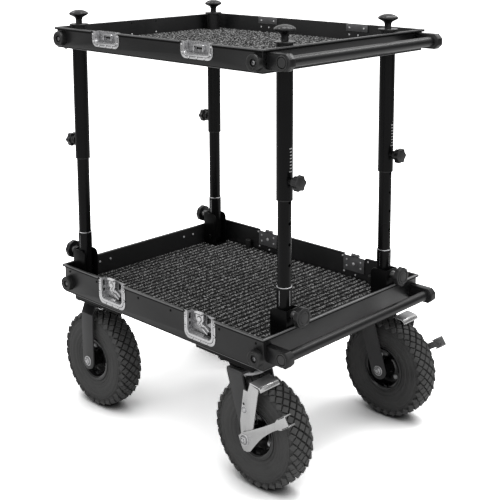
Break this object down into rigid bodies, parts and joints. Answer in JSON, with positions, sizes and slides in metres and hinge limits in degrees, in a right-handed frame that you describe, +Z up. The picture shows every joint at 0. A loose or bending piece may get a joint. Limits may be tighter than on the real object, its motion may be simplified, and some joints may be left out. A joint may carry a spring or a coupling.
{
  "type": "camera cart",
  "caption": "Two-deck camera cart: deep lower tray on pneumatic casters, shallow upper tray on telescopic folding posts, push handles, latches and brakes.",
  "frame": {"origin": "on the floor under the middle of the two trays, wheels resting at Z=0", "axes": "+Z up; +X towards the push handles; -Y is the latched long side, +Y the hinged one"},
  "size_m": [0.8803, 0.6364, 1.0863],
  "materials": {
    "black_powder_coat": "satin black powder coat",
    "handle_black": "satin black",
    "black_tube": "semi-gloss black",
    "black_plastic": "moulded matte",
    "ribbed_carpet": "ribbed pile",
    "speckled_carpet": "speckled loop pile",
    "chrome": "bright",
    "zinc": "brushed zinc plate",
    "leaf_steel": "dark satin",
    "fork_paint": "satin dark grey",
    "rim_black": "gloss black",
    "tyre_rubber": "moulded block tread"
  },
  "bodies": {
    "root": {"lower_tray": "black_powder_coat", "lower_carpet": "ribbed_carpet", "lower_handle": "handle_black", "latch_dish_left": "chrome", "latch_dish_right": "chrome", "lower_hinge_leaf_left": "leaf_steel", "lower_hinge_leaf_right": "leaf_steel", "foot_bracket_front_left": "black_powder_coat", "foot_bracket_back_left": "black_powder_coat", "foot_bracket_front_right": "black_powder_coat", "foot_bracket_back_right": "black_powder_coat", "mount_plate_left": "black_powder_coat", "mount_plate_right": "black_powder_coat", "fixed_fork_front": "fork_paint", "fixed_fork_back": "fork_paint"},
    "deck": {"upper_tray": "black_powder_coat", "upper_carpet": "speckled_carpet", "upper_handle": "handle_black", "keeper_dish_left": "chrome", "keeper_dish_right": "chrome", "upper_hinge_leaf_left": "leaf_steel", "upper_hinge_leaf_right": "leaf_steel"},
    "post_front_left": {"inner_post_front_left": "black_tube"},
    "tube_front_left": {"outer_tube_front_left": "black_tube"},
    "height_lock_front_left": {"height_knob_front_left": "black_plastic"},
    "foot_lock_front_left": {"foot_knob_front_left": "black_plastic"},
    "deck_lock_front_left": {"deck_knob_front_left": "black_plastic"},
    "post_back_left": {"inner_post_back_left": "black_tube"},
    "tube_back_left": {"outer_tube_back_left": "black_tube"},
    "height_lock_back_left": {"height_knob_back_left": "black_plastic"},
    "foot_lock_back_left": {"foot_knob_back_left": "black_plastic"},
    "deck_lock_back_left": {"deck_knob_back_left": "black_plastic"},
    "post_front_right": {"inner_post_front_right": "black_tube"},
    "tube_front_right": {"outer_tube_front_right": "black_tube"},
    "height_lock_front_right": {"height_knob_front_right": "black_plastic"},
    "foot_lock_front_right": {"foot_knob_front_right": "black_plastic"},
    "deck_lock_front_right": {"deck_knob_front_right": "black_plastic"},
    "post_back_right": {"inner_post_back_right": "black_tube"},
    "tube_back_right": {"outer_tube_back_right": "black_tube"},
    "height_lock_back_right": {"height_knob_back_right": "black_plastic"},
    "foot_lock_back_right": {"foot_knob_back_right": "black_plastic"},
    "deck_lock_back_right": {"deck_knob_back_right": "black_plastic"},
    "swivel_front": {"swivel_fork_front": "fork_paint"},
    "swivel_wheel_front": {"swivel_rim_front": "rim_black", "swivel_tyre_front": "tyre_rubber"},
    "shoe_front": {"brake_shoe_front": "zinc"},
    "lever_front": {"brake_lever_front": "zinc"},
    "fixed_wheel_front": {"fixed_rim_front": "rim_black", "fixed_tyre_front": "tyre_rubber"},
    "swivel_back": {"swivel_fork_back": "fork_paint"},
    "swivel_wheel_back": {"swivel_rim_back": "rim_black", "swivel_tyre_back": "tyre_rubber"},
    "shoe_back": {"brake_shoe_back": "zinc"},
    "lever_back": {"brake_lever_back": "zinc"},
    "fixed_wheel_back": {"fixed_rim_back": "rim_black", "fixed_tyre_back": "tyre_rubber"},
    "wing_left": {"latch_wing_left": "zinc"},
    "hook_left": {"latch_hook_left": "chrome"},
    "wing_right": {"latch_wing_right": "zinc"},
    "hook_right": {"latch_hook_right": "chrome"}
  },
  "joints": [
    {"name": "deck_height", "type": "slide", "parent": "root", "child": "deck", "axis": [0, 0, 1], "range_m": [-0.2, 0]},
    {"name": "post_fold_front_left", "type": "hinge", "parent": "root", "child": "post_front_left", "pos_m": [-0.345, -0.249, 0.352], "axis": [0, 1, 0], "range_deg": [0, 90]},
    {"name": "tube_slide_front_left", "type": "slide", "parent": "post_front_left", "child": "tube_front_left", "axis": [0, 0, 1], "range_m": [-0.2, 0]},
    {"name": "height_knob_turn_front_left", "type": "hinge", "parent": "tube_front_left", "child": "height_lock_front_left", "pos_m": [-0.385, -0.249, 0.7284], "axis": [-1, 0, 0], "continuous": true},
    {"name": "foot_knob_turn_front_left", "type": "hinge", "parent": "root", "child": "foot_lock_front_left", "pos_m": [-0.395, -0.249, 0.4126], "axis": [-1, 0, 0], "continuous": true},
    {"name": "deck_knob_turn_front_left", "type": "hinge", "parent": "deck", "child": "deck_lock_front_left", "pos_m": [-0.345, -0.249, 1.0493], "axis": [0, 0, 1], "continuous": true},
    {"name": "post_fold_back_left", "type": "hinge", "parent": "root", "child": "post_back_left", "pos_m": [-0.345, 0.249, 0.352], "axis": [0, 1, 0], "range_deg": [0, 90]},
    {"name": "tube_slide_back_left", "type": "slide", "parent": "post_back_left", "child": "tube_back_left", "axis": [0, 0, 1], "range_m": [-0.2, 0]},
    {"name": "height_knob_turn_back_left", "type": "hinge", "parent": "tube_back_left", "child": "height_lock_back_left", "pos_m": [-0.385, 0.249, 0.7284], "axis": [-1, 0, 0], "continuous": true},
    {"name": "foot_knob_turn_back_left", "type": "hinge", "parent": "root", "child": "foot_lock_back_left", "pos_m": [-0.395, 0.249, 0.4126], "axis": [-1, 0, 0], "continuous": true},
    {"name": "deck_knob_turn_back_left", "type": "hinge", "parent": "deck", "child": "deck_lock_back_left", "pos_m": [-0.345, 0.249, 1.0493], "axis": [0, 0, 1], "continuous": true},
    {"name": "post_fold_front_right", "type": "hinge", "parent": "root", "child": "post_front_right", "pos_m": [0.345, -0.193, 0.352], "axis": [0, -1, 0], "range_deg": [0, 90]},
    {"name": "tube_slide_front_right", "type": "slide", "parent": "post_front_right", "child": "tube_front_right", "axis": [0, 0, 1], "range_m": [-0.2, 0]},
    {"name": "height_knob_turn_front_right", "type": "hinge", "parent": "tube_front_right", "child": "height_lock_front_right", "pos_m": [0.385, -0.193, 0.7284], "axis": [1, 0, 0], "continuous": true},
    {"name": "foot_knob_turn_front_right", "type": "hinge", "parent": "root", "child": "foot_lock_front_right", "pos_m": [0.395, -0.193, 0.4126], "axis": [1, 0, 0], "continuous": true},
    {"name": "deck_knob_turn_front_right", "type": "hinge", "parent": "deck", "child": "deck_lock_front_right", "pos_m": [0.345, -0.193, 1.0493], "axis": [0, 0, 1], "continuous": true},
    {"name": "post_fold_back_right", "type": "hinge", "parent": "root", "child": "post_back_right", "pos_m": [0.345, 0.193, 0.352], "axis": [0, -1, 0], "range_deg": [0, 90]},
    {"name": "tube_slide_back_right", "type": "slide", "parent": "post_back_right", "child": "tube_back_right", "axis": [0, 0, 1], "range_m": [-0.2, 0]},
    {"name": "height_knob_turn_back_right", "type": "hinge", "parent": "tube_back_right", "child": "height_lock_back_right", "pos_m": [0.385, 0.193, 0.7284], "axis": [1, 0, 0], "continuous": true},
    {"name": "foot_knob_turn_back_right", "type": "hinge", "parent": "root", "child": "foot_lock_back_right", "pos_m": [0.395, 0.193, 0.4126], "axis": [1, 0, 0], "continuous": true},
    {"name": "deck_knob_turn_back_right", "type": "hinge", "parent": "deck", "child": "deck_lock_back_right", "pos_m": [0.345, 0.193, 1.0493], "axis": [0, 0, 1], "continuous": true},
    {"name": "caster_swivel_front", "type": "hinge", "parent": "root", "child": "swivel_front", "pos_m": [0.281, -0.248, 0.285], "axis": [0, 0, 1], "continuous": true},
    {"name": "swivel_wheel_roll_front", "type": "hinge", "parent": "swivel_front", "child": "swivel_wheel_front", "pos_m": [0.33, -0.248, 0.1325], "axis": [0, 1, 0], "continuous": true},
    {"name": "brake_lever_press_front", "type": "hinge", "parent": "swivel_front", "child": "lever_front", "pos_m": [0.33, -0.248, 0.1325], "axis": [0, 1, 0], "range_deg": [0, 34]},
    {"name": "brake_shoe_drop_front", "type": "slide", "parent": "swivel_front", "child": "shoe_front", "axis": [0, 0, -1], "range_m": [0, 0.002]},
    {"name": "fixed_wheel_roll_front", "type": "hinge", "parent": "root", "child": "fixed_wheel_front", "pos_m": [-0.281, -0.248, 0.1325], "axis": [0, 1, 0], "continuous": true},
    {"name": "caster_swivel_back", "type": "hinge", "parent": "root", "child": "swivel_back", "pos_m": [0.281, 0.248, 0.285], "axis": [0, 0, 1], "continuous": true},
    {"name": "swivel_wheel_roll_back", "type": "hinge", "parent": "swivel_back", "child": "swivel_wheel_back", "pos_m": [0.33, 0.248, 0.1325], "axis": [0, 1, 0], "continuous": true},
    {"name": "brake_lever_press_back", "type": "hinge", "parent": "swivel_back", "child": "lever_back", "pos_m": [0.33, 0.248, 0.1325], "axis": [0, 1, 0], "range_deg": [0, 34]},
    {"name": "brake_shoe_drop_back", "type": "slide", "parent": "swivel_back", "child": "shoe_back", "axis": [0, 0, -1], "range_m": [0, 0.002]},
    {"name": "fixed_wheel_roll_back", "type": "hinge", "parent": "root", "child": "fixed_wheel_back", "pos_m": [-0.281, 0.248, 0.1325], "axis": [0, 1, 0], "continuous": true},
    {"name": "latch_wing_turn_left", "type": "hinge", "parent": "root", "child": "wing_left", "pos_m": [-0.168, -0.289, 0.358], "axis": [0, -1, 0], "range_deg": [0, 180]},
    {"name": "latch_hook_draw_left", "type": "slide", "parent": "root", "child": "hook_left", "axis": [0, 0, -1], "range_m": [0, 0.006]},
    {"name": "latch_wing_turn_right", "type": "hinge", "parent": "root", "child": "wing_right", "pos_m": [0.168, -0.289, 0.358], "axis": [0, -1, 0], "range_deg": [0, 180]},
    {"name": "latch_hook_draw_right", "type": "slide", "parent": "root", "child": "hook_right", "axis": [0, 0, -1], "range_m": [0, 0.006]}
  ],
  "couplings": [
    {"joint": "tube_slide_front_left", "follows": "deck_height", "ratio": 1},
    {"joint": "tube_slide_back_left", "follows": "deck_height", "ratio": 1},
    {"joint": "tube_slide_front_right", "follows": "deck_height", "ratio": 1},
    {"joint": "tube_slide_back_right", "follows": "deck_height", "ratio": 1},
    {"joint": "brake_shoe_drop_front", "follows": "brake_lever_press_front", "m_per_rad": 0.00335},
    {"joint": "brake_shoe_drop_back", "follows": "brake_lever_press_back", "m_per_rad": 0.00335},
    {"joint": "latch_hook_draw_left", "follows": "latch_wing_turn_left", "m_per_rad": 0.0019},
    {"joint": "latch_hook_draw_right", "follows": "latch_wing_turn_right", "m_per_rad": 0.0019}
  ]
}
